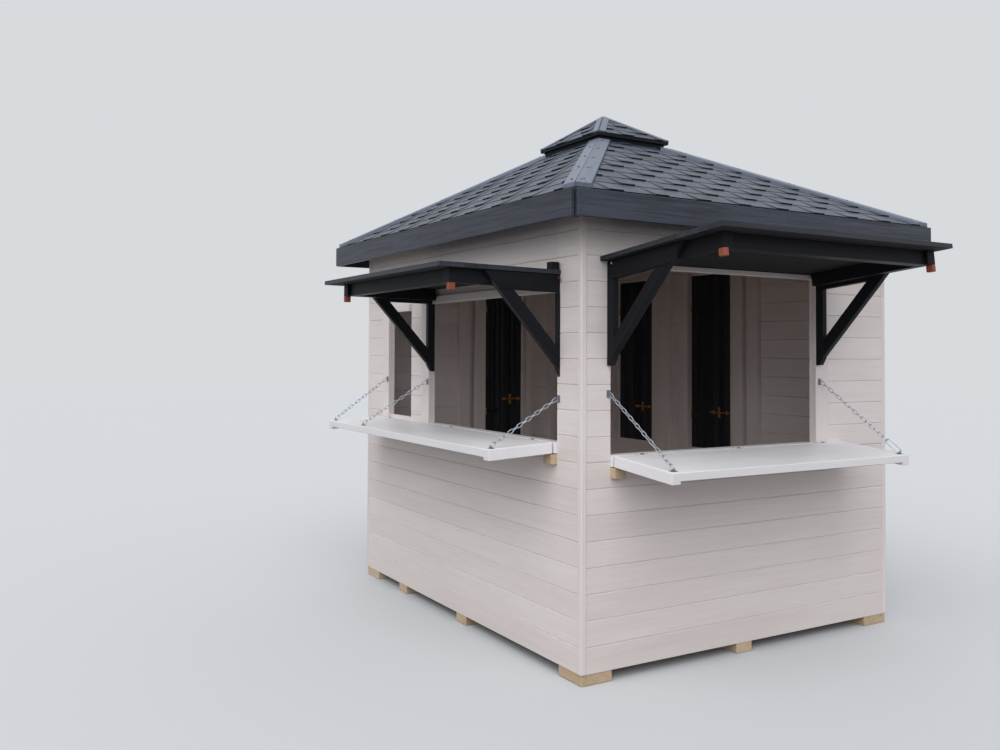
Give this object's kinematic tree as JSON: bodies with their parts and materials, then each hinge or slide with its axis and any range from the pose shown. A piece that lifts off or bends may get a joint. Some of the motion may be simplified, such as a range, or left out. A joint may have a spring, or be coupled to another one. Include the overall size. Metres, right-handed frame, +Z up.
{
  "type": "wooden market hut",
  "caption": "Boarded wooden market hut with a pyramid roof, raised black shutters over its serving openings, and fold-up counters hung on chains.",
  "frame": {"origin": "centre of the whole object's footprint, at the ground", "axes": "+Z up, -Y out of the front serving wall, -X out of the left serving wall, +Y and +X towards the closed walls"},
  "size_m": [3.3662, 3.7662, 3.3948],
  "materials": {
    "wall_paint": "painted warm white, satin",
    "counter_paint": "painted white, satin",
    "raw_pine": "raw sawn pine",
    "black_paint": "black stain with the grain showing",
    "roof_paint": "anthracite paint",
    "shingles": "slate-grey mineral shingles",
    "zinc": "zinc plated",
    "brass": "yellow passivated",
    "copper_wood": "orange-brown stained wood"
  },
  "bodies": {
    "hut": {"foot_blocks": "raw_pine", "floor_bearers": "raw_pine", "floor_boards": "raw_pine", "front_wall_lower": "wall_paint", "front_wall_left": "wall_paint", "front_wall_right": "wall_paint", "front_wall_top": "wall_paint", "left_wall_lower": "wall_paint", "left_wall_near": "wall_paint", "left_wall_pier": "wall_paint", "left_wall_far": "wall_paint", "left_wall_top": "wall_paint", "narrow_fillers": "wall_paint", "back_wall": "wall_paint", "right_wall": "wall_paint", "corner_strips": "wall_paint", "wall_posts": "wall_paint", "top_plates": "wall_paint", "opening_casings": "wall_paint", "sill_boards": "wall_paint", "hinge_rails": "wall_paint", "canopy_boards": "black_paint", "canopy_frames": "black_paint", "canopy_pegs": "copper_wood", "canopy_brackets": "black_paint", "counter_cleats": "raw_pine", "counter_hinges": "zinc", "front_chains": "zinc", "left_chains": "zinc", "chain_hooks": "zinc", "hatch_leaves": "black_paint", "hatch_fittings": "brass", "entrance_door": "wall_paint", "roof_front": "shingles", "roof_back": "shingles", "roof_left": "shingles", "roof_right": "shingles", "hip_boards": "roof_paint", "fascia_boards": "black_paint", "rafters": "raw_pine", "cap_roof": "roof_paint"},
    "front_counter": {"front_counter": "counter_paint", "front_counter_fittings": "zinc"},
    "left_counter": {"left_counter": "counter_paint", "left_counter_fittings": "zinc"}
  },
  "joints": [
    {"name": "front_counter_fold", "type": "hinge", "parent": "hut", "child": "front_counter", "pos_m": [0.14213, -1.05188, 1.175], "axis": [-1, 0, 0], "range_deg": [0, 88], "deforming": ["front_chains"]},
    {"name": "left_counter_fold", "type": "hinge", "parent": "hut", "child": "left_counter", "pos_m": [-0.97187, 0.30012, 1.233], "axis": [0, 1, 0], "range_deg": [0, 78], "deforming": ["left_chains"]}
  ]
}
